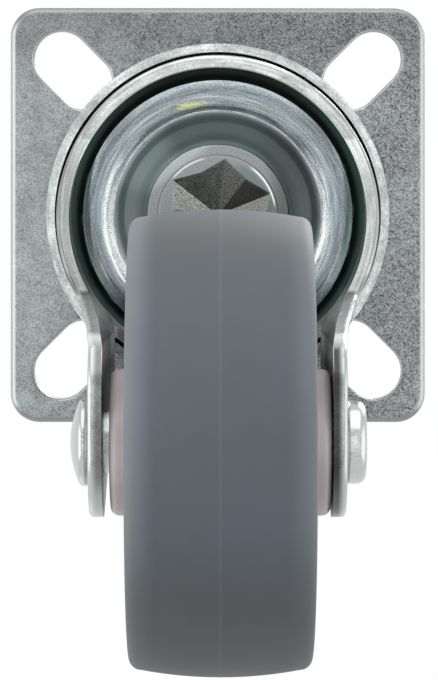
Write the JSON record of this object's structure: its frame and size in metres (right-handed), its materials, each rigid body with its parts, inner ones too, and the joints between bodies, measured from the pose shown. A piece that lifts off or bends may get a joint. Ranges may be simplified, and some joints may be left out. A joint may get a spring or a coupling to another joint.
{
  "type": "swivel castor",
  "caption": "Swivel castor: square slotted mounting plate, double ball-race swivel head, pressed steel fork and a treaded wheel on a riveted axle.",
  "frame": {"origin": "centre of the plate's top mounting face, on the swivel axis", "axes": "+Z out of the mounting face, away from the wheel; +Y towards the trailing wheel; X along the wheel's axle"},
  "size_m": [0.05, 0.0744, 0.068],
  "materials": {
    "zinc_plate": "bright zinc plating, mottled",
    "zinc_ring": "bright zinc plating",
    "pin_steel": "bare staked steel",
    "race_cup": "case-hardened sheet, bluish bowl",
    "fork_zinc": "bright zinc plating, rolled edges",
    "axle_steel": "zinc-plated rivet",
    "sleeve_steel": "zinc-plated tube",
    "ball_steel": "hardened balls, greased",
    "tread": "grey satin rubber",
    "hub": "pinkish grey moulded plastic"
  },
  "bodies": {
    "mount": {"top_plate": "zinc_plate", "upper_race_ring": "zinc_ring", "kingpin": "pin_steel", "lower_race_cup": "race_cup"},
    "fork": {"fork": "fork_zinc", "axle_rivet": "axle_steel", "axle_sleeve": "sleeve_steel"},
    "wheel": {"tread": "tread", "hub": "hub"},
    "upper_ball_set": {"upper_ball_01": "ball_steel", "upper_ball_02": "ball_steel", "upper_ball_03": "ball_steel", "upper_ball_04": "ball_steel", "upper_ball_05": "ball_steel", "upper_ball_06": "ball_steel", "upper_ball_07": "ball_steel", "upper_ball_08": "ball_steel", "upper_ball_09": "ball_steel", "upper_ball_10": "ball_steel", "upper_ball_11": "ball_steel", "upper_ball_12": "ball_steel", "upper_ball_13": "ball_steel", "upper_ball_14": "ball_steel", "upper_ball_15": "ball_steel", "upper_ball_16": "ball_steel", "upper_ball_17": "ball_steel", "upper_ball_18": "ball_steel", "upper_ball_19": "ball_steel", "upper_ball_20": "ball_steel"},
    "lower_ball_set": {"lower_ball_01": "ball_steel", "lower_ball_02": "ball_steel", "lower_ball_03": "ball_steel", "lower_ball_04": "ball_steel", "lower_ball_05": "ball_steel", "lower_ball_06": "ball_steel", "lower_ball_07": "ball_steel", "lower_ball_08": "ball_steel", "lower_ball_09": "ball_steel", "lower_ball_10": "ball_steel", "lower_ball_11": "ball_steel", "lower_ball_12": "ball_steel", "lower_ball_13": "ball_steel", "lower_ball_14": "ball_steel", "lower_ball_15": "ball_steel", "lower_ball_16": "ball_steel", "lower_ball_17": "ball_steel", "lower_ball_18": "ball_steel", "lower_ball_19": "ball_steel", "lower_ball_20": "ball_steel"}
  },
  "joints": [
    {"name": "swivel", "type": "hinge", "parent": "mount", "child": "fork", "pos_m": [0, 0, 0], "axis": [0, 0, 1], "continuous": true},
    {"name": "wheel_spin", "type": "hinge", "parent": "fork", "child": "wheel", "pos_m": [0, 0.0244, -0.043], "axis": [1, 0, 0], "continuous": true},
    {"name": "upper_ball_orbit", "type": "hinge", "parent": "mount", "child": "upper_ball_set", "pos_m": [0, 0, 0], "axis": [0, 0, 1], "continuous": true},
    {"name": "lower_ball_orbit", "type": "hinge", "parent": "mount", "child": "lower_ball_set", "pos_m": [0, 0, 0], "axis": [0, 0, 1], "continuous": true}
  ],
  "couplings": [
    {"joint": "upper_ball_orbit", "follows": "swivel", "ratio": 0.5},
    {"joint": "lower_ball_orbit", "follows": "swivel", "ratio": 0.5}
  ]
}
